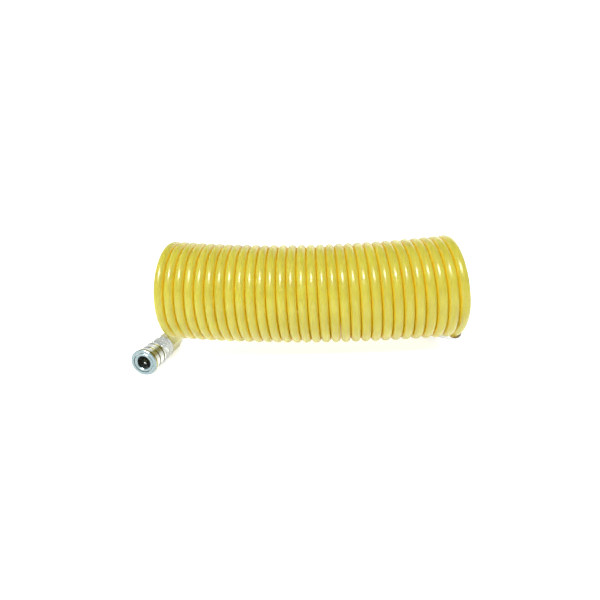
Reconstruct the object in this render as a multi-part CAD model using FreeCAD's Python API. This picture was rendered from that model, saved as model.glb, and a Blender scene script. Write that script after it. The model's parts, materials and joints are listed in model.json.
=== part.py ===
"""A coiled compressed-air hose with a female quick coupler at one end and a male plug at the other.

Millimetres, +Z up. The coil's axis runs near X and sags between its raised ends. The origin is under
the middle of the whole object, on the surface that it rests on.
"""

import FreeCAD, Part
import math
import os

V = FreeCAD.Vector
X = V(1, 0, 0)
Y = V(0, 1, 0)
Z = V(0, 0, 1)
ORIGIN = V(0, 0, 0)

# Hose
HOSE_R = 4.15
HOSE_BORE_R = 3.175
COIL_R = 44.0
COIL_TURNS = 30
COIL_PITCH = 8.364
COIL_SAG = 6.0
COIL_TILT = 2.17
COIL_MIDDLE = V(12.5, -28.6, 55.75)
COIL_SOLID_FROM = -117.0
COIL_SOLID_TO = 114.0

# Where the two ends lie, from the coil's middle on the floor
COUPLER_FACE = V(-144.8, -38.2, 12.08)
COUPLER_AZIMUTH = 85.1
COUPLER_FALL = 1.82
PLUG_TIP = V(108.3, 82.4, 11.0)
PLUG_AZIMUTH = -80.0
PLUG_FALL = 3.42

# Coupler, along its axis from the sleeve's front face
SLEEVE_R = 11.0
SLEEVE_FLANGE_R = 12.0
SLEEVE_END = 34.5
SLEEVE_LIP_R = 8.06
SLEEVE_RING_R = 9.06
SLEEVE_CAVITY_R = 9.6
SLEEVE_SKIRT_R = 10.35
SLEEVE_STOP = 1.9
COLLAR_BACK = 12.6
GROOVE_PLACES = (9.0, 16.0)
GROOVE_WIDTH = 1.6
GROOVE_DEPTH = 0.7
NOSE_R = 8.0
MOUTH_R = 6.05
MOUTH_BACK = 6.5
INNER_BORE_R = 6.25
BALL_PLANE = 9.0
BALL_R = 1.98
BALL_CENTRE_R = 7.13
BALL_CLEARANCE = 0.05
BALL_COUNT = 4
SPRING_SIDES = 16
SEAL_POCKET = (20.5, 23.5)
SEAL_POCKET_R = 6.9
SEAT_BACK = 25.1
SEAT_R = 3.6
CHAMBER_R = 6.3
BODY_END = 33.0
BODY_THREAD_R = 7.4
ADAPTER_FRONT = 27.0
ADAPTER_HEX_FRONT = 33.0
ADAPTER_END = 54.0
SPRING_SHOULDER = 38.6
PIPE_BORE_FRONT = 41.5
PIPE_BORE_R = 6.75
ADAPTER_AF = 17.5
ADAPTER_HEX_TURN = 23.5

# Hose end fitting, along the coupler's axis. The plug's fitting is the same, PLUG_SHIFT nearer its tip.
THREAD_R = 6.6
THREAD_PITCH = 1.41
THREAD_DEPTH = 0.7
THREAD_SPAN = (43.6, 53.0)
SWIVEL_HEX = (54.4, 62.4)
SWIVEL_AF = 14.3
SWIVEL_NECK_R = 6.4
SWIVEL_END = 68.0
STEM_R = 3.5
STEM_BORE_R = 1.9
STEM_FRONT = 48.2
STEM_FLANGE = (68.2, 69.6)
STEM_END = 84.0
BARB_R = 3.15
BARB_ROOT_R = 2.8
SEAL_GROOVE = (50.5, 52.0)
CLIP_GROOVE = (64.0, 65.0)
GROOVE_BOTTOM_R = 2.7
FERRULE_END = 81.6
FERRULE_R = 7.1
GUARD_R = 5.9
GUARD_BORE_R = 4.6
PLUG_SHIFT = 16.0
PLUG_GUARD_LENGTH = 38.0
PLUG_GUARD_TURN = 42.0

# Male plug, along its axis from its tip
PLUG_NOSE_R = 3.95
PLUG_COLLAR_R = 5.95
PLUG_GROOVE_R = 4.9
PLUG_COLLAR = (8.8, 13.0)
PLUG_BORE_R = 2.6
PLUG_HEX_FRONT = 23.5
PLUG_END = 38.0

# The coupler end's free hose, from its fitting round to the first turn's top
TAIL_CORNER = 91.9
TAIL_POINTS = [
    V(-133.7, 89.4, 24.2),
    V(-128.1, 100.4, 61.3),
    V(-121.4, 78.5, 93.4),
    V(-117.8, 39.0, 96.5),
    V(-116.2, 11.0, 104.0),
]
TAIL_GUARD_STRAIGHT = 7.0
ARC_SHARE = 0.45


def turned(profile):
    """A solid of revolution about X from (along, radius) corners."""
    corners = [V(along, radius, 0) for along, radius in profile]
    face = Part.Face(Part.makePolygon(corners + corners[:1]))
    return face.revolve(ORIGIN, X, 360)


def hexagon(across_flats, front, back, turn):
    """A bar of hexagon section about X, with its end corners chamfered."""
    corner_r = across_flats / math.sqrt(3)
    corners = []
    for k in range(7):
        angle = math.radians(turn + 30 + 60 * k)
        corners.append(V(front, corner_r * math.cos(angle), corner_r * math.sin(angle)))
    bar = Part.Face(Part.makePolygon(corners)).extrude(X * (back - front))
    chamfer = corner_r - across_flats / 2
    drop = chamfer * 0.6
    limit = [
        (front, 0),
        (front, corner_r - chamfer),
        (front + drop, corner_r + 0.01),
        (back - drop, corner_r + 0.01),
        (back, corner_r - chamfer),
        (back, 0),
    ]
    return bar.common(turned(limit))


def ring(front, back, inner, outer):
    """A plain ring about X."""
    return turned([(front, inner), (front, outer), (back, outer), (back, inner)])


def split_ring(front, back, inner, outer, gap):
    """A ring about X with a gap cut through it at its top."""
    slot = Part.makeBox(back - front + 1, gap, outer + 1, V(front - 0.5, -gap / 2, 0))
    return ring(front, back, inner, outer).cut(slot)


def spring(front, back, mean_r, wire_r, turns):
    """A coil spring about X that fills the space from front to back, in short straight lengths of wire."""
    start = front + wire_r
    rise = (back - front - 2 * wire_r) / (turns * SPRING_SIDES)
    corners = []
    for k in range(turns * SPRING_SIDES + 1):
        angle = math.radians(360 / SPRING_SIDES * k)
        corners.append(V(start + rise * k, mean_r * math.cos(angle), mean_r * math.sin(angle)))
    path = Part.makePolygon(corners)
    profile = Part.Wire(Part.makeCircle(wire_r, corners[0], corners[1] - corners[0]))
    return path.makePipeShell([profile], True, False, 1)


def ball_angles():
    return [45 + 360 / BALL_COUNT * k for k in range(BALL_COUNT)]


def radial(angle):
    """The direction across X at this angle from Y towards Z."""
    return V(0, math.cos(math.radians(angle)), math.sin(math.radians(angle)))


def ball_place(angle):
    return X * BALL_PLANE + radial(angle) * BALL_CENTRE_R


def coupler_body():
    """The tube that takes the plug: ball holes near its mouth, the valve's seat deep inside it."""
    body = turned(
        [
            (0.5, MOUTH_R),
            (0.0, MOUTH_R + 0.5),
            (0.0, 8.3),
            (0.3, 8.6),
            (0.9, 8.6),
            (0.9, 7.45),
            (SLEEVE_STOP, 7.45),
            (SLEEVE_STOP, NOSE_R),
            (ADAPTER_FRONT - 0.1, NOSE_R),
            (ADAPTER_FRONT - 0.1, BODY_THREAD_R),
            (BODY_END, BODY_THREAD_R),
            (BODY_END, CHAMBER_R),
            (SEAT_BACK, CHAMBER_R),
            (SEAT_BACK, SEAT_R),
            (SEAL_POCKET[1], SEAT_R),
            (SEAL_POCKET[1], SEAL_POCKET_R),
            (SEAL_POCKET[0], SEAL_POCKET_R),
            (SEAL_POCKET[0], INNER_BORE_R),
            (MOUTH_BACK, INNER_BORE_R),
            (MOUTH_BACK, MOUTH_R),
        ]
    )
    hole_r = BALL_R + BALL_CLEARANCE
    for angle in ball_angles():
        seat = Part.makeSphere(hole_r, ball_place(angle))
        way = Part.makeCylinder(hole_r, NOSE_R, ball_place(angle), radial(angle))
        body = body.cut(seat.fuse(way))
    return body


def sleeve_cone_r(along):
    """The ramp inside the sleeve: it lets the balls out a quarter as far as the sleeve is drawn back."""
    return 9.24 + 0.25 * (BALL_PLANE - along)


def coupler_sleeve():
    """The grip: a lip that stops on the ring, the ramp over the balls, the spring's seat, the skirt."""
    cavity_front = 5.0
    outline = [
        (0.0, SLEEVE_RING_R),
        (0.0, SLEEVE_FLANGE_R - 0.5),
        (0.5, SLEEVE_FLANGE_R),
        (2.7, SLEEVE_FLANGE_R),
        (3.4, SLEEVE_R),
    ]
    for place in GROOVE_PLACES:
        outline += [
            (place - GROOVE_WIDTH / 2, SLEEVE_R),
            (place - GROOVE_WIDTH / 2, SLEEVE_R - GROOVE_DEPTH),
            (place + GROOVE_WIDTH / 2, SLEEVE_R - GROOVE_DEPTH),
            (place + GROOVE_WIDTH / 2, SLEEVE_R),
        ]
    outline += [
        (SLEEVE_END - 0.3, SLEEVE_R),
        (SLEEVE_END, SLEEVE_R - 0.3),
        (SLEEVE_END, SLEEVE_SKIRT_R),
        (29.0, SLEEVE_SKIRT_R),
        (29.0, SLEEVE_CAVITY_R),
        (COLLAR_BACK, SLEEVE_CAVITY_R),
        (COLLAR_BACK, SLEEVE_LIP_R),
        (11.15, SLEEVE_LIP_R),
        (11.15, sleeve_cone_r(BALL_PLANE)),
        (BALL_PLANE, sleeve_cone_r(BALL_PLANE)),
        (cavity_front, sleeve_cone_r(cavity_front)),
        (2.9, sleeve_cone_r(cavity_front)),
        (2.9, SLEEVE_LIP_R),
        (SLEEVE_STOP, SLEEVE_LIP_R),
        (SLEEVE_STOP, SLEEVE_RING_R),
    ]
    return turned(outline)


def coupler_adapter():
    """The hexagon that closes the coupler and takes the hose fitting's taper thread."""
    outside = ring(ADAPTER_FRONT, ADAPTER_HEX_FRONT, 0, 9.5)
    outside = outside.fuse(hexagon(ADAPTER_AF, ADAPTER_HEX_FRONT, ADAPTER_END, ADAPTER_HEX_TURN))
    inside = turned(
        [
            (ADAPTER_FRONT - 1, 0),
            (ADAPTER_FRONT - 1, BODY_THREAD_R + 0.05),
            (34.6, BODY_THREAD_R + 0.05),
            (34.6, 5.2),
            (SPRING_SHOULDER, 5.2),
            (SPRING_SHOULDER, 3.0),
            (PIPE_BORE_FRONT, 3.0),
            (PIPE_BORE_FRONT, PIPE_BORE_R),
            (ADAPTER_END - 0.6, PIPE_BORE_R),
            (ADAPTER_END, PIPE_BORE_R + 0.6),
            (ADAPTER_END + 1, PIPE_BORE_R + 0.6),
            (ADAPTER_END + 1, 0),
        ]
    )
    return outside.cut(inside)


def valve_poppet():
    """The valve: a hollow nose that the plug pushes back, a head, and a tail that centres the spring."""
    poppet = turned(
        [
            (20.4, 1.6),
            (20.4, 3.1),
            (20.7, 3.4),
            (26.1, 3.4),
            (26.1, 5.7),
            (28.1, 5.7),
            (28.1, 2.0),
            (34.0, 2.0),
            (34.0, 0),
            (25.6, 0),
            (25.6, 1.6),
        ]
    )
    for angle in (0, 90):
        across = radial(angle)
        poppet = poppet.cut(Part.makeCylinder(0.9, 8, X * 24.0 - across * 4, across))
    return poppet


def taper_thread(front, back, radius):
    """The corners of a thread's ridges, drawn as rings, from front to back."""
    corners = [(front, radius - THREAD_DEPTH)]
    along = front
    while along + THREAD_PITCH < back:
        corners.append((along + THREAD_PITCH / 2, radius))
        corners.append((along + THREAD_PITCH, radius - THREAD_DEPTH))
        along += THREAD_PITCH
    return corners


def swivel_body(turn):
    """The hexagon with the taper thread, which turns freely on the hose's stem."""
    front = THREAD_SPAN[0]
    outline = [(front, 2.4)] + taper_thread(front, THREAD_SPAN[1], THREAD_R)
    outline += [
        (SWIVEL_HEX[0], 5.6),
        (SWIVEL_HEX[0], SWIVEL_NECK_R),
        (SWIVEL_END - 0.4, SWIVEL_NECK_R),
        (SWIVEL_END, SWIVEL_NECK_R - 0.4),
        (SWIVEL_END, STEM_R + 0.05),
        (CLIP_GROOVE[1] + 0.1, STEM_R + 0.05),
        (CLIP_GROOVE[1] + 0.1, 4.5),
        (CLIP_GROOVE[0] - 0.1, 4.5),
        (CLIP_GROOVE[0] - 0.1, STEM_R + 0.05),
        (STEM_FRONT - 0.2, STEM_R + 0.05),
        (STEM_FRONT - 0.2, 2.4),
    ]
    bar = hexagon(SWIVEL_AF, SWIVEL_HEX[0], SWIVEL_HEX[1], turn)
    bar = bar.cut(ring(SWIVEL_HEX[0] - 1, SWIVEL_HEX[1] + 1, 0, 5.9))
    return turned(outline).fuse(bar).removeSplitter()


def hose_stem():
    """The tube that joins the swivel body to the hose: seal groove, clip groove, flange and barbs."""
    outline = [
        (STEM_FRONT, STEM_BORE_R),
        (STEM_FRONT, STEM_R),
    ]
    for groove in (SEAL_GROOVE, CLIP_GROOVE):
        outline += [
            (groove[0] - 0.05, STEM_R),
            (groove[0] - 0.05, GROOVE_BOTTOM_R),
            (groove[1] + 0.05, GROOVE_BOTTOM_R),
            (groove[1] + 0.05, STEM_R),
        ]
    outline += [
        (STEM_FLANGE[0], STEM_R),
        (STEM_FLANGE[0], 5.6),
        (STEM_FLANGE[1], 5.6),
        (STEM_FLANGE[1], BARB_ROOT_R),
    ]
    barb_pitch = (STEM_END - STEM_FLANGE[1] - 1.0) / 5
    for k in range(5):
        along = STEM_FLANGE[1] + 1.0 + barb_pitch * k
        outline += [(along, BARB_ROOT_R), (along, BARB_R), (along + barb_pitch * 0.8, BARB_ROOT_R)]
    outline += [(STEM_END, BARB_ROOT_R), (STEM_END, STEM_BORE_R)]
    return turned(outline)


def stem_seal():
    """The O-ring in the stem's groove."""
    section_r = (STEM_R + 0.04 - GROOVE_BOTTOM_R) / 2
    middle = (SEAL_GROOVE[0] + SEAL_GROOVE[1]) / 2
    return Part.makeTorus(GROOVE_BOTTOM_R + section_r, section_r, X * middle, X)


def ferrule():
    """The crimped ring over the hose, with two rolled grooves."""
    outline = [(STEM_FLANGE[1], HOSE_R + 0.02), (STEM_FLANGE[1], FERRULE_R - 0.4)]
    outline.append((STEM_FLANGE[1] + 0.4, FERRULE_R))
    for place in (73.2, 77.2):
        outline += [
            (place - 1.0, FERRULE_R),
            (place - 0.6, FERRULE_R - 0.6),
            (place + 0.6, FERRULE_R - 0.6),
            (place + 1.0, FERRULE_R),
        ]
    outline += [(FERRULE_END, FERRULE_R), (FERRULE_END, HOSE_R + 0.02)]
    return turned(outline)


def male_plug():
    """The quarter-inch plug: nose, locking collar and groove, hexagon and taper thread's bore."""
    outside = turned(
        [
            (0, 0),
            (0, PLUG_NOSE_R - 0.6),
            (0.6, PLUG_NOSE_R),
            (7.2, PLUG_NOSE_R),
            (PLUG_COLLAR[0], PLUG_COLLAR_R),
            (PLUG_COLLAR[1], PLUG_COLLAR_R),
            (PLUG_COLLAR[1] + 1.0, PLUG_GROOVE_R),
            (17.2, PLUG_GROOVE_R),
            (18.2, PLUG_COLLAR_R),
            (21.0, PLUG_COLLAR_R),
            (21.0, 5.2),
            (PLUG_HEX_FRONT, 5.2),
            (PLUG_HEX_FRONT, 0),
        ]
    )
    outside = outside.fuse(hexagon(ADAPTER_AF, PLUG_HEX_FRONT, PLUG_END, 30))
    inside = turned(
        [
            (-1, 0),
            (-1, PLUG_BORE_R),
            (PIPE_BORE_FRONT - PLUG_SHIFT, PLUG_BORE_R),
            (PIPE_BORE_FRONT - PLUG_SHIFT, PIPE_BORE_R),
            (PLUG_END - 0.6, PIPE_BORE_R),
            (PLUG_END, PIPE_BORE_R + 0.6),
            (PLUG_END + 1, PIPE_BORE_R + 0.6),
            (PLUG_END + 1, 0),
        ]
    )
    return outside.cut(inside)


def swept(path, radius):
    """A round bar along a wire of straight runs and tangent arcs."""
    first = path.OrderedEdges[0]
    start = first.valueAt(first.FirstParameter)
    heading = first.tangentAt(first.FirstParameter)
    profile = Part.Wire(Part.makeCircle(radius, start, heading))
    return path.makePipeShell([profile], True, False)


def tube(path, outer, inner):
    """A tube along the path. Its volume is checked against its section times its length."""
    solid = swept(path, outer).cut(swept(path, inner))
    expected = math.pi * (outer**2 - inner**2) * path.Length
    print("tube length", round(path.Length, 1), "volume share", round(solid.Volume / expected, 4))
    return solid


def rounded_edges(points):
    """Straight runs joined by arcs as large as each corner's two runs allow."""
    edges = []
    last = points[0]
    for before, corner, after in zip(points, points[1:], points[2:]):
        back = (before - corner).normalize()
        on = (after - corner).normalize()
        half_turn = (math.pi - back.getAngle(on)) / 2
        cut = ARC_SHARE * min(before.distanceToPoint(corner), after.distanceToPoint(corner))
        print("arc radius", round(cut / math.tan(half_turn), 1))
        start = corner + back * cut
        end = corner + on * cut
        inward = (back + on).normalize()
        middle = corner + inward * (cut * (1 / math.cos(half_turn) - 1) / math.tan(half_turn))
        edges.append(Part.makeLine(last, start))
        edges.append(Part.Arc(start, middle, end).toShape())
        last = end
    edges.append(Part.makeLine(last, points[-1]))
    return edges


def plug_guard_path(straight):
    """From the ferrule's end: a straight stretch before it, if any, then the guard's upward bend."""
    start = FERRULE_END - PLUG_SHIFT
    bend_r = PLUG_GUARD_LENGTH / math.radians(PLUG_GUARD_TURN)
    places = []
    for share in (0.5, 1.0):
        angle = math.radians(PLUG_GUARD_TURN * share)
        places.append(V(start + bend_r * math.sin(angle), 0, bend_r * (1 - math.cos(angle))))
    bend = Part.Arc(V(start, 0, 0), places[0], places[1]).toShape()
    if not straight:
        return Part.Wire([bend])
    return Part.Wire([Part.makeLine(V(start - straight, 0, 0), V(start, 0, 0)), bend])


def hose_coil():
    """The wound turns as one thick tube, bent so that its middle hangs lower than its ends."""
    length = COIL_TURNS * COIL_PITCH
    sag_r = length**2 / (8 * COIL_SAG)
    wall = Part.Face([Part.Wire(Part.makeCircle(COIL_R, ORIGIN, X))])
    hole = Part.Face([Part.Wire(Part.makeCircle(COIL_R - 2 * HOSE_R, ORIGIN, X))])
    centre = Z * sag_r
    sweep = math.degrees((COIL_SOLID_TO - COIL_SOLID_FROM) / sag_r)
    coil = wall.cut(hole).revolve(centre, -Y, sweep)
    coil.rotate(centre, Y, math.degrees(-COIL_SOLID_FROM / sag_r))
    coil.rotate(ORIGIN, Y, COIL_TILT)
    coil.translate(Z * COIL_MIDDLE.z)
    return coil


def frame_along(origin, azimuth, fall):
    """A placement whose X points along the azimuth, downwards by fall degrees, with its Z upward."""
    level = V(math.cos(math.radians(azimuth)), math.sin(math.radians(azimuth)), 0)
    along = level * math.cos(math.radians(fall)) - Z * math.sin(math.radians(fall))
    side = Z.cross(along).normalize()
    return FreeCAD.Placement(origin, FreeCAD.Rotation(along, side, along.cross(side), "XYZ"))


def fitting(prefix, turn):
    """One end's swivel fitting, along the coupler's axis."""
    return {
        prefix + "_swivel_body": swivel_body(turn),
        prefix + "_swivel_seal": stem_seal(),
        prefix + "_swivel_clip": split_ring(CLIP_GROOVE[0], CLIP_GROOVE[1], 2.75, 4.35, 2.0),
        prefix + "_stem": hose_stem(),
        prefix + "_ferrule": ferrule(),
    }


def coupler_parts():
    """Everything on the coupler's axis."""
    parts = {
        "coupler_body": coupler_body(),
        "coupler_sleeve": coupler_sleeve(),
        "coupler_adapter": coupler_adapter(),
        "sleeve_retaining_ring": split_ring(0.93, SLEEVE_STOP, 7.5, 8.98, 2.5),
        "sleeve_spring": spring(COLLAR_BACK, ADAPTER_FRONT, 8.8, 0.5, 5),
        "plug_seal": ring(SEAL_POCKET[0], SEAL_POCKET[1], 3.85, SEAL_POCKET_R),
        "valve_poppet": valve_poppet(),
        "valve_seal": ring(SEAT_BACK, 26.1, 3.4, 5.6),
        "valve_spring": spring(28.1, SPRING_SHOULDER, 4.2, 0.45, 5),
        "body_joint_seal": Part.makeTorus(6.7, 0.7, X * 33.8, X),
    }
    for k, angle in enumerate(ball_angles(), 1):
        parts["locking_ball_%d" % k] = Part.makeSphere(BALL_R, ball_place(angle))
    parts.update(fitting("coupler", ADAPTER_HEX_TURN))
    return parts


def plug_parts():
    """Everything on the plug's axis, and the guard and hose that bend up from it."""
    parts = fitting("plug", 30)
    for shape in parts.values():
        shape.translate(-X * PLUG_SHIFT)
    parts["plug_guard"] = tube(plug_guard_path(0), GUARD_R, GUARD_BORE_R)
    in_ferrule = FERRULE_END - STEM_FLANGE[1]
    parts["hose_tail_plug"] = tube(plug_guard_path(in_ferrule), HOSE_R, HOSE_BORE_R)
    parts["male_plug"] = male_plug()
    return parts


def tail_guard_path(ferrule_end, bend):
    """From the ferrule's end, round the tail's first bend, to a little way up its second run."""
    bend_start = bend.valueAt(bend.FirstParameter)
    bend_end = bend.valueAt(bend.LastParameter)
    mouth = bend_end + bend.tangentAt(bend.LastParameter) * TAIL_GUARD_STRAIGHT
    return Part.Wire([Part.makeLine(ferrule_end, bend_start), bend, Part.makeLine(bend_end, mouth)])


def coupler_tail(place):
    """The hose from the coupler's stem, up behind the coil, to the first turn, and the guard round it."""
    on_axis = [place.multVec(X * along) for along in (STEM_FLANGE[1], TAIL_CORNER)]
    edges = rounded_edges(on_axis + TAIL_POINTS)
    guard_path = tail_guard_path(place.multVec(X * FERRULE_END), edges[1])
    return {
        "hose_tail_coupler": tube(Part.Wire(edges), HOSE_R, HOSE_BORE_R),
        "coupler_guard": tube(guard_path, GUARD_R, GUARD_BORE_R),
    }


def all_parts():
    """Every node's shape, in the coil's own frame."""
    coupler_place = frame_along(COUPLER_FACE, COUPLER_AZIMUTH, COUPLER_FALL)
    plug_place = frame_along(PLUG_TIP, PLUG_AZIMUTH, PLUG_FALL)
    parts = {"hose_coil": hose_coil()}
    parts.update(coupler_tail(coupler_place))
    for place, shapes in ((coupler_place, coupler_parts()), (plug_place, plug_parts())):
        for name, shape in shapes.items():
            shape.Placement = place.multiply(shape.Placement)
            parts[name] = shape
    return parts


def main():
    os.makedirs("parts", exist_ok=True)
    shift = V(COIL_MIDDLE.x, COIL_MIDDLE.y, 0)
    for name, shape in all_parts().items():
        shape.translate(shift)
        solids = shape.Solids
        if not shape.isValid() or not solids:
            print("check this shape:", name)
        whole = solids[0] if len(solids) == 1 else Part.makeCompound(solids)
        whole.exportStep("parts/%s.step" % name)


main()
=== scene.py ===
"""The looks of a coiled air hose with its coupler and plug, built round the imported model. Metres, +Z up."""

import json
import math

import bpy
import numpy as np
from mathutils import Matrix, Vector


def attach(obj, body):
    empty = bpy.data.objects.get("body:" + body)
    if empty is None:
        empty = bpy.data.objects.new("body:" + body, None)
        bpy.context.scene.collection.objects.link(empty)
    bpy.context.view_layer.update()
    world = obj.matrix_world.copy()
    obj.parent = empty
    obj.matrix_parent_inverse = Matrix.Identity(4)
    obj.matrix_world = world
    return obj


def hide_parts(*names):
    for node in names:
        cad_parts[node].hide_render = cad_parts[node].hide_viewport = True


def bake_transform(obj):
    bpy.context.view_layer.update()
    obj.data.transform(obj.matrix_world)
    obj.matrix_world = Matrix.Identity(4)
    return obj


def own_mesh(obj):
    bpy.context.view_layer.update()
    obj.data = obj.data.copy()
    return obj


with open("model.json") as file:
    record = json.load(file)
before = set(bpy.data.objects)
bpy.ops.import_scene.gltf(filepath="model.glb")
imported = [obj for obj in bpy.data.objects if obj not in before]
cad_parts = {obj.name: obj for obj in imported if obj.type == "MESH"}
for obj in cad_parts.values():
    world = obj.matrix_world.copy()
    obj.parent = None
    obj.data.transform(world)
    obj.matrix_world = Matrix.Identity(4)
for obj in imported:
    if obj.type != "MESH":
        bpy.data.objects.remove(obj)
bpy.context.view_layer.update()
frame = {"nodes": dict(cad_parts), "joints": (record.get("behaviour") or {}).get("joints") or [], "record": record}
NODES = frame["nodes"]
JOINTS = {joint["name"]: joint for joint in frame["joints"]}
TAU = 2 * math.pi

# Camera
CAMERA_PLACE = (0.0318, -0.3350, 0.1533)
CAMERA_AZIMUTH = -0.086
CAMERA_FALL = 0.3238
CAMERA_LEAN = 0.076
CAMERA_LENS = 21.4
CAMERA_NEAR = 0.01
SENSOR = 36.0

# Hose, as in the CAD source. COIL_R is the radius of the wound tube's centreline.
HOSE_R = 0.00415
COIL_R = 0.03985
COIL_TURNS = 30
COIL_PITCH = 0.008364
COIL_SAG = 0.006
COIL_TILT = math.radians(2.17)
COIL_MIDDLE = Vector((0.0125, -0.0286, 0.05575))
MIDDLE_TURN = 14.5

# Control points. The drawn line runs a little inside them, so the winding's are moved outward.
LAST_STEP = 703
STEPS_A_TURN = 24
CONTROL_SWELL = 1 / 0.9914
LINE_RESOLUTION = 4

# The hose's way to each end of the coil, from the floor under the coil's middle. The coupler end's
# points are the CAD source's. The plug end's are the looks' own, near the CAD tube.
TAIL_POINTS = [
    (-0.1337, 0.0894, 0.0242),
    (-0.1281, 0.1004, 0.0613),
    (-0.1214, 0.0785, 0.0934),
    (-0.1178, 0.0390, 0.0965),
    (-0.1162, 0.0110, 0.1040),
]
ENDING_POINTS = [
    (0.1265, -0.0295, 0.0335),
    (0.1266, -0.0215, 0.0240),
    (0.1248, -0.0105, 0.0158),
    (0.1219, 0.0060, 0.0105),
]

# Places along each fitting's axis, from the sleeve's face or the plug's tip. The plug's stem and
# ferrule are nearer its tip by PLUG_SHIFT.
COUPLER_PIVOT = 0.060
PLUG_PIVOT = 0.044
PLUG_SHIFT = 0.016
STEM_BACK = 0.0696
FERRULE_BACK = 0.0816
TAIL_CORNER = 0.0919

# Wire springs. A guard starts where the hose leaves its ferrule.
GUARD_START = FERRULE_BACK - STEM_BACK
COUPLER_GUARD_LENGTH = 0.027
PLUG_GUARD_LENGTH = 0.038
GUARD_WIRE_R = 0.00065
GUARD_COIL_R = 0.0059 - GUARD_WIRE_R
GUARD_PITCH = 0.0020
FLARE = 0.0009
FLARE_LENGTH = 0.005
RETURN_TURNS = 5
POINTS_A_TURN = 28

# Sides of the round meshes, and a direction that no tube starts along
HOSE_SIDES = 20
WIRE_SIDES = 10
ACROSS = (0.3, 0.2, 1.0)

# How far from a neighbouring turn the nylon takes its painted crevice glow, an orange that stands in for light
# bounced between the turns
CREVICE_GLOW_REACH = 0.003

# Where the zinc's face colour, knurl and painted hose reflections are: spans along an axis, and radii
FACE_DEPTH = 0.0006
FACE_RING_R = 0.0092
FACE_RING_DEPTH = 0.002
RIM_SPAN = (0.0007, 0.0030)
GROOVE_SPAN = (0.004, 0.020)
GROOVE_FLOOR_R = 0.0107
KNURL_SPAN = (0.0185, 0.0335)
COUPLER_HEX = (0.0330, 0.0540)
PLUG_HEX = (0.0235, 0.0380)

# The tool marks, and the grip's diamonds
TOOL_MARK_PITCH = 0.00016
KNURL_COUNT = 44
KNURL_PITCH = 0.0016
KNURL_DEPTH = 0.0004

# How strongly a hexagon takes its painted reflection of the yellow hose and how much smoother it is;
# how strongly painted shade shows in the knurl's hollows, and below what height of the diamonds, from -1 to 1
HEX_REFLECTION_SHARE = 0.85
HEX_POLISH = 0.6
KNURL_SHADE_SHARE = 0.7
KNURL_SHADE_BELOW = -0.15

# Colours
NYLON_DEEP = (0.274, 0.244, 0.018)
NYLON_PALE = (0.312, 0.288, 0.026)
# Painted glow: the orange the nylon takes between its turns, standing in for light bounced there
CREVICE_PAINTED_GLOW = (0.66, 0.42, 0.014)
ZINC_DULL = (0.50, 0.53, 0.51)
ZINC_BRIGHT = (0.66, 0.69, 0.66)
FACE_DARK = (0.13, 0.18, 0.19)
FACE_PALE = (0.27, 0.34, 0.35)
# Painted reflection of the yellow hose on the hexagons
HEX_PAINTED_REFLECTION = (0.36, 0.33, 0.07)
# Painted shade for the knurl's hollows
KNURL_PAINTED_SHADE = (0.16, 0.17, 0.16)
# Painted reflection of the yellow hose, for the sleeve's grooves and rim
OLIVE_PAINTED_REFLECTION = (0.27, 0.25, 0.09)
WIRE_DULL = (0.40, 0.41, 0.40)
WIRE_BRIGHT = (0.58, 0.59, 0.58)
# Painted shade: the brass is darkened to the shade inside the coupler's bore
BRASS_SHADE_DARK = (0.13, 0.13, 0.08)
BRASS_SHADE_PALE = (0.20, 0.18, 0.10)

# Studio. The world darkens above one height and behind one depth of its direction.
FLOOR_HALF = 6.0
FLOOR_GLOW = 0.6
WORLD_STRENGTH = 1.1
DARK_ABOVE = 0.62
DARK_BEHIND = -0.35
DARK_GROWTH = 6.0
DARK_TONE = (0.3, 0.3, 0.31)
LIGHT_AIM = Vector((0, 0, 0.05))


def axis_frame(joint_name, pivot):
    """The matrix whose X runs back along a fitting from its front end, with Z upward."""
    joint = JOINTS[joint_name]
    along = Vector(joint["axis"]).normalized()
    side = Vector((0, 0, 1)).cross(along).normalized()
    turn = Matrix((along, side, along.cross(side))).transposed().to_4x4()
    return Matrix.Translation(Vector(joint["pos_m"]) - along * pivot) @ turn


COUPLER = axis_frame("coupler_swivel", COUPLER_PIVOT)
PLUG = axis_frame("plug_swivel", PLUG_PIVOT)


def placed(name, data):
    """A new object in the scene."""
    made = bpy.data.objects.new(name, data)
    bpy.context.scene.collection.objects.link(made)
    return made


# --- Nodes -------------------------------------------------------------------------------------


def material(name):
    """A new node material: itself, its node tree and its shader."""
    made = bpy.data.materials.new(name)
    made.use_nodes = True
    return made, made.node_tree, made.node_tree.nodes["Principled BSDF"]


def set_inputs(target, **values):
    """Sets a node's sockets by their labels, with underscores for spaces."""
    for label, value in values.items():
        target.inputs[label.replace("_", " ")].default_value = value


def grey(level):
    """A colour without tint."""
    return level, level, level


def maths(tree, operation, first, second=0.0):
    """A maths node on sockets or numbers; gives its output socket."""
    made = tree.nodes.new("ShaderNodeMath")
    made.operation = operation
    for socket, value in zip(made.inputs, (first, second)):
        if isinstance(value, (int, float)):
            socket.default_value = value
        else:
            tree.links.new(value, socket)
    return made.outputs[0]


def larger(tree, first, second):
    """The larger of two values. Of two masks, this is where either holds."""
    return maths(tree, "MAXIMUM", first, second)


def between(tree, value, low, high):
    """1 where the socket is between two numbers, else 0."""
    above = maths(tree, "GREATER_THAN", value, low)
    return maths(tree, "MULTIPLY", above, maths(tree, "LESS_THAN", value, high))


def ramp(tree, factor, *stops):
    """A ramp between two places, each with its colour, on a socket; gives its colour socket."""
    made = tree.nodes.new("ShaderNodeValToRGB")
    tree.links.new(factor, made.inputs["Fac"])
    for element, (place, colour) in zip(made.color_ramp.elements, stops):
        element.position = place
        element.color = (*colour, 1)
    return made.outputs["Color"]


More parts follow.
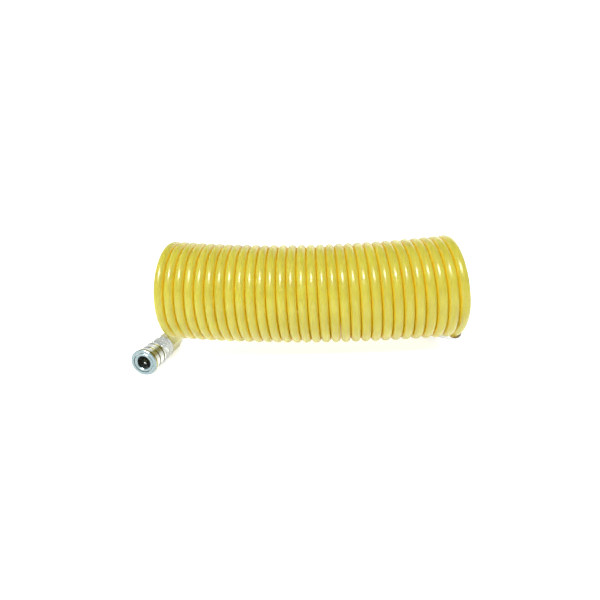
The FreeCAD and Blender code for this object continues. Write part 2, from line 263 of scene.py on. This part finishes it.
def mixed(tree, factor, first, second):
    """One colour or the other, by a factor. Either may be a socket."""
    made = tree.nodes.new("ShaderNodeMix")
    made.data_type = "RGBA"
    tree.links.new(factor, made.inputs["Factor"])
    for socket, value in ((made.inputs[6], first), (made.inputs[7], second)):
        if isinstance(value, tuple):
            socket.default_value = (*value, 1)
        else:
            tree.links.new(value, socket)
    return made.outputs[2]


def noise(tree, scale, detail=3.0):
    """Noise in the object's own space; gives its factor socket."""
    made = tree.nodes.new("ShaderNodeTexNoise")
    set_inputs(made, Scale=scale, Detail=detail)
    place = tree.nodes.new("ShaderNodeTexCoord").outputs["Object"]
    tree.links.new(place, made.inputs["Vector"])
    return made.outputs["Fac"]


def bump(tree, shader, height, distance, strength, under=None):
    """A bump on the shader, over the bump under it if there is one; gives its normal socket."""
    made = tree.nodes.new("ShaderNodeBump")
    set_inputs(made, Distance=distance, Strength=strength)
    tree.links.new(height, made.inputs["Height"])
    if under is not None:
        tree.links.new(under, made.inputs["Normal"])
    tree.links.new(made.outputs["Normal"], shader.inputs["Normal"])
    return made.outputs["Normal"]


# --- Materials ---------------------------------------------------------------------------------


def nylon():
    """Yellow extruded nylon: glossy, slightly clear, cloudy and rippled, with a painted orange glow between the
    turns that stands in for light bounced there.
    """
    made, tree, shader = material("yellow_nylon")
    cloudy_colour = ramp(tree, noise(tree, 60.0), (0.3, NYLON_DEEP), (0.7, NYLON_PALE))
    openness = tree.nodes.new("ShaderNodeAmbientOcclusion")
    openness.samples = 8
    set_inputs(openness, Distance=CREVICE_GLOW_REACH)
    # Painted glow between the turns, where the surface is closed in by its neighbours
    colour = mixed(tree, openness.outputs["AO"], CREVICE_PAINTED_GLOW, cloudy_colour)
    tree.links.new(colour, shader.inputs["Base Color"])
    grain = noise(tree, 1600.0, detail=2.0)
    rough = ramp(tree, grain, (0.35, grey(0.20)), (0.65, grey(0.30)))
    tree.links.new(rough, shader.inputs["Roughness"])
    set_inputs(shader, IOR=1.45)
    set_inputs(shader, Subsurface_Weight=0.8, Subsurface_Radius=(0.5, 0.32, 0.06), Subsurface_Scale=0.006)
    ripple = bump(tree, shader, noise(tree, 320.0, detail=2.0), distance=0.0006, strength=0.14)
    bump(tree, shader, grain, distance=0.0002, strength=0.25, under=ripple)
    return made


def along_axis(tree, axis):
    """Sockets for the distance along a fitting's axis, the distance from it, and the angle round it."""
    place = tree.nodes.new("ShaderNodeTexCoord").outputs["Object"]
    parts = []
    for row in axis.inverted()[:3]:
        dot = tree.nodes.new("ShaderNodeVectorMath")
        dot.operation = "DOT_PRODUCT"
        tree.links.new(place, dot.inputs[0])
        dot.inputs[1].default_value = row[:3]
        parts.append(maths(tree, "ADD", dot.outputs["Value"], row[3]))
    across = maths(tree, "POWER", parts[1], 2.0)
    upward = maths(tree, "POWER", parts[2], 2.0)
    radius = maths(tree, "SQRT", maths(tree, "ADD", across, upward))
    return parts[0], radius, maths(tree, "ARCTAN2", parts[2], parts[1])


def face_mask(tree, along, radius):
    """1 on a fitting's front face and just inside its mouth, else 0."""
    face = maths(tree, "LESS_THAN", along, FACE_DEPTH)
    in_ring = maths(tree, "LESS_THAN", radius, FACE_RING_R)
    near_front = maths(tree, "LESS_THAN", along, FACE_RING_DEPTH)
    return larger(tree, face, maths(tree, "MULTIPLY", in_ring, near_front))


def turned_bump(tree, shader, along, radius, grain):
    """Tool marks round the axis with fine grain over them; gives the normal socket."""
    phase = maths(tree, "MULTIPLY", maths(tree, "ADD", along, radius), TAU / TOOL_MARK_PITCH)
    marks = bump(tree, shader, maths(tree, "SINE", phase), distance=0.00002, strength=0.25)
    return bump(tree, shader, grain, distance=0.0001, strength=0.12, under=marks)


def knurl_height(tree, along, angle):
    """The diamond pattern of the grip, which is flat elsewhere."""
    round_phase = maths(tree, "MULTIPLY", angle, KNURL_COUNT)
    long_phase = maths(tree, "MULTIPLY", along, TAU / KNURL_PITCH)
    right = maths(tree, "SINE", maths(tree, "ADD", round_phase, long_phase))
    left = maths(tree, "SINE", maths(tree, "SUBTRACT", round_phase, long_phase))
    diamonds = maths(tree, "MULTIPLY", right, left)
    return maths(tree, "MULTIPLY", diamonds, between(tree, along, *KNURL_SPAN))


def sleeve_colour(tree, colour, along, radius, knurl):
    """The sleeve's colour: painted shade low in the knurl, and a painted olive reflection of the hose in its
    grooves and on its rim.
    """
    # Painted shade in the knurl's hollows, below a height of the diamonds
    hollow_shade = maths(tree, "LESS_THAN", knurl, KNURL_SHADE_BELOW)
    colour = mixed(tree, maths(tree, "MULTIPLY", hollow_shade, KNURL_SHADE_SHARE), colour, KNURL_PAINTED_SHADE)
    groove = maths(tree, "LESS_THAN", radius, GROOVE_FLOOR_R)
    groove = maths(tree, "MULTIPLY", groove, between(tree, along, *GROOVE_SPAN))
    # Painted olive reflection of the hose in the sleeve's grooves and on its rim
    return mixed(tree, larger(tree, groove, between(tree, along, *RIM_SPAN)), colour, OLIVE_PAINTED_REFLECTION)


def zinc(name, axis, hexagon, knurled=False):
    """Zinc plate on turned steel: darker on its front face, and glossier on its hexagon, which has the yellow
    hose's reflection painted on it.
    """
    made, tree, shader = material(name)
    along, radius, angle = along_axis(tree, axis)
    grain = noise(tree, 2500.0, detail=4.0)
    colour = ramp(tree, noise(tree, 140.0), (0.35, ZINC_DULL), (0.65, ZINC_BRIGHT))
    speckled = ramp(tree, grain, (0.35, FACE_DARK), (0.65, FACE_PALE))
    colour = mixed(tree, face_mask(tree, along, radius), colour, speckled)
    flats = between(tree, along, *hexagon)
    # Painted reflection: the hexagon's flats take the hose's yellow
    colour = mixed(tree, maths(tree, "MULTIPLY", flats, HEX_REFLECTION_SHARE), colour, HEX_PAINTED_REFLECTION)
    rough = ramp(tree, grain, (0.3, grey(0.18)), (0.7, grey(0.32)))
    unpolished = maths(tree, "SUBTRACT", 1.0, maths(tree, "MULTIPLY", flats, HEX_POLISH))
    under = turned_bump(tree, shader, along, radius, grain)
    if knurled:
        knurl = knurl_height(tree, along, angle)
        colour = sleeve_colour(tree, colour, along, radius, knurl)
        bump(tree, shader, knurl, distance=KNURL_DEPTH, strength=1.0, under=under)
    tree.links.new(colour, shader.inputs["Base Color"])
    tree.links.new(maths(tree, "MULTIPLY", rough, unpolished), shader.inputs["Roughness"])
    set_inputs(shader, Metallic=1.0)
    return made


def cloudy(name, scale, dark, pale, roughness, metallic=1.0):
    """A plain material whose colour drifts between two tones."""
    made, tree, shader = material(name)
    tint = ramp(tree, noise(tree, scale), (0.3, dark), (0.7, pale))
    tree.links.new(tint, shader.inputs["Base Color"])
    set_inputs(shader, Metallic=metallic, Roughness=roughness)
    return made


NYLON = nylon()
ZINC_COUPLER = zinc("zinc_plate", COUPLER, COUPLER_HEX)
ZINC_GRIP = zinc("zinc_plate_knurled", COUPLER, COUPLER_HEX, knurled=True)
ZINC_PLUG = zinc("zinc_plate_plug", PLUG, PLUG_HEX)
WIRE = cloudy("spring_wire", 500.0, WIRE_DULL, WIRE_BRIGHT, roughness=0.22)
# Painted shade: brass kept dark, as the bore it sits in is shaded
BRASS_PAINTED_SHADE = cloudy("turned_brass_painted_shade", 300.0, BRASS_SHADE_DARK, BRASS_SHADE_PALE, roughness=0.25)
RUBBER = cloudy("seal_rubber", 800.0, grey(0.018), grey(0.035), roughness=0.6, metallic=0.0)
SLOT_MATERIALS = {
    "hose": NYLON,
    "zinc_plated_steel": ZINC_COUPLER,
    "spring_steel": WIRE,
    "ball_steel": WIRE,
    "brass": BRASS_PAINTED_SHADE,
    "seal_rubber": RUBBER,
}


def look_of(part):
    """The material of a CAD node. The sleeve and the zinc parts at the plug's end have their own."""
    if part["node"] == "coupler_sleeve":
        return ZINC_GRIP
    if part["material_slot"] == "zinc_plated_steel" and part["node"].startswith(("plug", "male")):
        return ZINC_PLUG
    return SLOT_MATERIALS[part["material_slot"]]


def dress_cad_nodes():
    """Every CAD node takes a node material."""
    for part in frame["record"]["subparts"]:
        materials = NODES[part["node"]].data.materials
        materials.clear()
        materials.append(look_of(part))


# --- Tubes -------------------------------------------------------------------------------------


def lengths_along(line):
    """The distance along a line to each of its points."""
    steps = np.linalg.norm(np.diff(line, axis=0), axis=1)
    return np.concatenate(([0], np.cumsum(steps)))


def rings_along(line, radius, sides):
    """Rings of points round a line, with no twist from one to the next."""
    tangents = np.gradient(line, axis=0)
    tangents /= np.linalg.norm(tangents, axis=1)[:, None]
    normal = np.cross(tangents[0], ACROSS)
    angles = np.linspace(0, TAU, sides, endpoint=False)
    rings = []
    for place, tangent in zip(line, tangents):
        normal = normal - tangent * (normal @ tangent)
        normal /= np.linalg.norm(normal)
        side = np.cross(tangent, normal)
        circle = np.outer(np.cos(angles), normal) + np.outer(np.sin(angles), side)
        rings.append(place + radius * circle)
    return np.array(rings)


def tube_mesh(name, line, radius, sides, look):
    """A closed smooth tube along a line."""
    rings = rings_along(line, radius, sides)
    last_ring = (len(rings) - 1) * sides
    faces = []
    for ring in range(0, last_ring, sides):
        following = ring + sides
        for side in range(sides):
            after = (side + 1) % sides
            faces.append((ring + side, ring + after, following + after, following + side))
    faces.append(tuple(range(sides))[::-1])
    faces.append(tuple(range(last_ring, last_ring + sides)))
    data = bpy.data.meshes.new(name)
    data.from_pydata(rings.reshape(-1, 3).tolist(), [], faces)
    data.shade_smooth()
    data.materials.append(look)
    return placed(name, data)


# --- Hose --------------------------------------------------------------------------------------


def coil_point(turn, radius):
    """A point of the winding. Whole turns are at the top, quarter turns at the front."""
    along = COIL_PITCH * (turn - MIDDLE_TURN)
    sag_r = (COIL_TURNS * COIL_PITCH) ** 2 / (8 * COIL_SAG)
    slope = along / sag_r
    angle = TAU * turn
    up = radius * math.cos(angle)
    place = Vector((sag_r * math.sin(slope), 0, sag_r * (1 - math.cos(slope))))
    place += Vector((-math.sin(slope), 0, math.cos(slope))) * up
    place.rotate(Matrix.Rotation(COIL_TILT, 3, "Y"))
    return place + Vector((0, -radius * math.sin(angle), 0)) + COIL_MIDDLE


def hose_route():
    """Control points of the coupler's tail, of the winding, and of the way to the plug's stem."""
    floor_shift = Vector((COIL_MIDDLE.x, COIL_MIDDLE.y, 0))
    tail = [COUPLER @ Vector((along, 0, 0)) for along in (STEM_BACK, TAIL_CORNER)]
    tail += [Vector(point) + floor_shift for point in TAIL_POINTS]
    steps = range(LAST_STEP + 1)
    winding = [coil_point(step / STEPS_A_TURN, COIL_R * CONTROL_SWELL) for step in steps]
    ending = [Vector(point) + floor_shift for point in ENDING_POINTS]
    ending += [PLUG @ Vector((along - PLUG_SHIFT, 0, 0)) for along in (FERRULE_BACK, STEM_BACK)]
    return tail, winding, ending


def smooth_line(points):
    """The points of the order-3 NURBS line through a route, as Blender draws it."""
    data = bpy.data.curves.new("hose_line", "CURVE")
    data.dimensions = "3D"
    data.resolution_u = LINE_RESOLUTION
    spline = data.splines.new("NURBS")
    spline.points.add(len(points) - 1)
    for target, point in zip(spline.points, points):
        target.co = (*point, 1)
    spline.order_u = 3
    spline.use_endpoint_u = True
    holder = bpy.data.objects.new("hose_line", data)
    drawn = bpy.data.meshes.new_from_object(holder)
    line = np.array([v.co for v in drawn.vertices])
    bpy.data.objects.remove(holder)
    bpy.data.meshes.remove(drawn)
    return line


def hose():
    """The whole hose as one tube."""
    tail, winding, ending = hose_route()
    line = smooth_line(tail + winding + ending)
    made = tube_mesh("air_hose", line, HOSE_R, HOSE_SIDES, NYLON)
    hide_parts("hose_coil", "hose_tail_coupler", "hose_tail_plug")
    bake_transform(made)
    return made, line


# --- Springs -----------------------------------------------------------------------------------


def wound_round(centres, radii, angles):
    """Points at a distance and an angle round each point of a line."""
    tangents = np.gradient(centres, axis=0)
    tangents /= np.linalg.norm(tangents, axis=1)[:, None]
    across = np.array((1.0, 0, 0)) - tangents * tangents[:, :1]
    across /= np.linalg.norm(across, axis=1)[:, None]
    upward = np.cross(tangents, across)
    circle = across * np.cos(angles)[:, None] + upward * np.sin(angles)[:, None]
    return centres + radii * circle


def guard(name, line, length, body, node_name):
    """A wire spring round part of the hose, from its first turn at the ferrule to its flared mouth."""
    along = lengths_along(line)
    span = length - 2 * GUARD_WIRE_R
    turns = span / GUARD_PITCH
    shares = np.linspace(0, 1, int(turns * POINTS_A_TURN))
    places = GUARD_START + GUARD_WIRE_R + shares * span
    centres = np.column_stack([np.interp(places, along, line[:, k]) for k in range(3)])
    flare = np.clip((shares * span - span + FLARE_LENGTH) / FLARE_LENGTH, 0, 1)[:, None]
    wire = wound_round(centres, GUARD_COIL_R + FLARE * flare, TAU * turns * shares)
    made = tube_mesh(name, wire, GUARD_WIRE_R, WIRE_SIDES, WIRE)
    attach(made, body)
    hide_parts(node_name)
    return made


def return_spring(node_name, front, back, coil_r, wire_r):
    """A spring inside the coupler. Its back end is fixed."""
    shares = np.linspace(0, 1, RETURN_TURNS * POINTS_A_TURN)
    places = front + wire_r + shares * (back - front - 2 * wire_r)
    centres = np.array([COUPLER @ Vector((place, 0, 0)) for place in places])
    wire = wound_round(centres, coil_r, TAU * RETURN_TURNS * shares)
    made = tube_mesh(node_name + "_wire", wire, wire_r, WIRE_SIDES, WIRE)
    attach(made, "coupler")
    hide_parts(node_name)
    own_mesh(made)


# --- Studio ------------------------------------------------------------------------------------


def camera():
    """The camera, in front, a little above, and leaning a few degrees."""
    level = math.cos(CAMERA_FALL)
    sideways, ahead = math.sin(CAMERA_AZIMUTH) * level, math.cos(CAMERA_AZIMUTH) * level
    forward = Vector((sideways, ahead, -math.sin(CAMERA_FALL)))
    right = forward.cross(Vector((0, 0, 1))).normalized()
    up = right.cross(forward)
    lean = Matrix.Rotation(CAMERA_LEAN, 3, forward)
    axes = Matrix((lean @ right, lean @ up, -forward)).transposed()
    data = bpy.data.cameras.new("camera")
    data.lens = CAMERA_LENS
    data.sensor_width = SENSOR
    data.clip_start = CAMERA_NEAR
    made = placed("camera", data)
    made.matrix_world = Matrix.Translation(CAMERA_PLACE) @ axes.to_4x4()
    bpy.context.scene.camera = made


def area_light(name, place, size, power):
    """A rectangular light that faces the object."""
    data = bpy.data.lights.new(name, "AREA")
    data.shape = "RECTANGLE"
    data.size, data.size_y = size
    data.energy = power
    made = placed(name, data)
    made.location = place
    made.rotation_mode = "QUATERNION"
    made.rotation_quaternion = (LIGHT_AIM - Vector(place)).to_track_quat("-Z", "Y")


def floor():
    """A plain pale floor. It glows a little, so that the shadows on it stay faint."""
    corners = [(x * FLOOR_HALF, y * FLOOR_HALF, 0) for x, y in ((-1, -1), (1, -1), (1, 1), (-1, 1))]
    data = bpy.data.meshes.new("floor")
    data.from_pydata(corners, [], [(0, 1, 2, 3)])
    look, tree, shader = material("pale_floor")
    tint = ramp(tree, noise(tree, 3.0), (0.0, grey(0.93)), (1.0, grey(0.95)))
    tree.links.new(tint, shader.inputs["Base Color"])
    tree.links.new(tint, shader.inputs["Emission Color"])
    set_inputs(shader, Roughness=0.9, Emission_Strength=FLOOR_GLOW)
    data.materials.append(look)
    made = placed("floor", data)


def studio():
    """Soft light on white, darker high up at the back, so that metal has contrast."""
    world = bpy.data.worlds.new("studio")
    world.use_nodes = True
    tree = world.node_tree
    direction = tree.nodes.new("ShaderNodeSeparateXYZ")
    tree.links.new(tree.nodes.new("ShaderNodeTexCoord").outputs["Generated"], direction.inputs[0])
    high = larger(tree, maths(tree, "SUBTRACT", direction.outputs["Z"], DARK_ABOVE), 0.0)
    behind = larger(tree, maths(tree, "SUBTRACT", direction.outputs["Y"], DARK_BEHIND), 0.0)
    dark = maths(tree, "MULTIPLY", maths(tree, "MULTIPLY", high, behind), DARK_GROWTH)
    background = tree.nodes["Background"]
    tree.links.new(ramp(tree, dark, (0.0, grey(1.0)), (1.0, DARK_TONE)), background.inputs["Color"])
    set_inputs(background, Strength=WORLD_STRENGTH)
    bpy.context.scene.world = world
    area_light("key", place=(-0.15, -0.75, 1.0), size=(0.50, 0.22), power=20.0)
    area_light("back", place=(0.35, 1.3, 0.75), size=(1.4, 0.7), power=3.5)
    bpy.context.scene.view_settings.view_transform = "Standard"


dress_cad_nodes()
air_hose, hose_line = hose()
guard("coupler_spring_guard", hose_line, COUPLER_GUARD_LENGTH, "hose", "coupler_guard")
plug_guard = guard("plug_spring_guard", hose_line[::-1], PLUG_GUARD_LENGTH, "plug_end", "plug_guard")
return_spring("sleeve_spring", front=0.0126, back=0.0270, coil_r=0.0088, wire_r=0.0005)
return_spring("valve_spring", front=0.0281, back=0.0386, coil_r=0.0042, wire_r=0.00045)
floor()
studio()
camera()
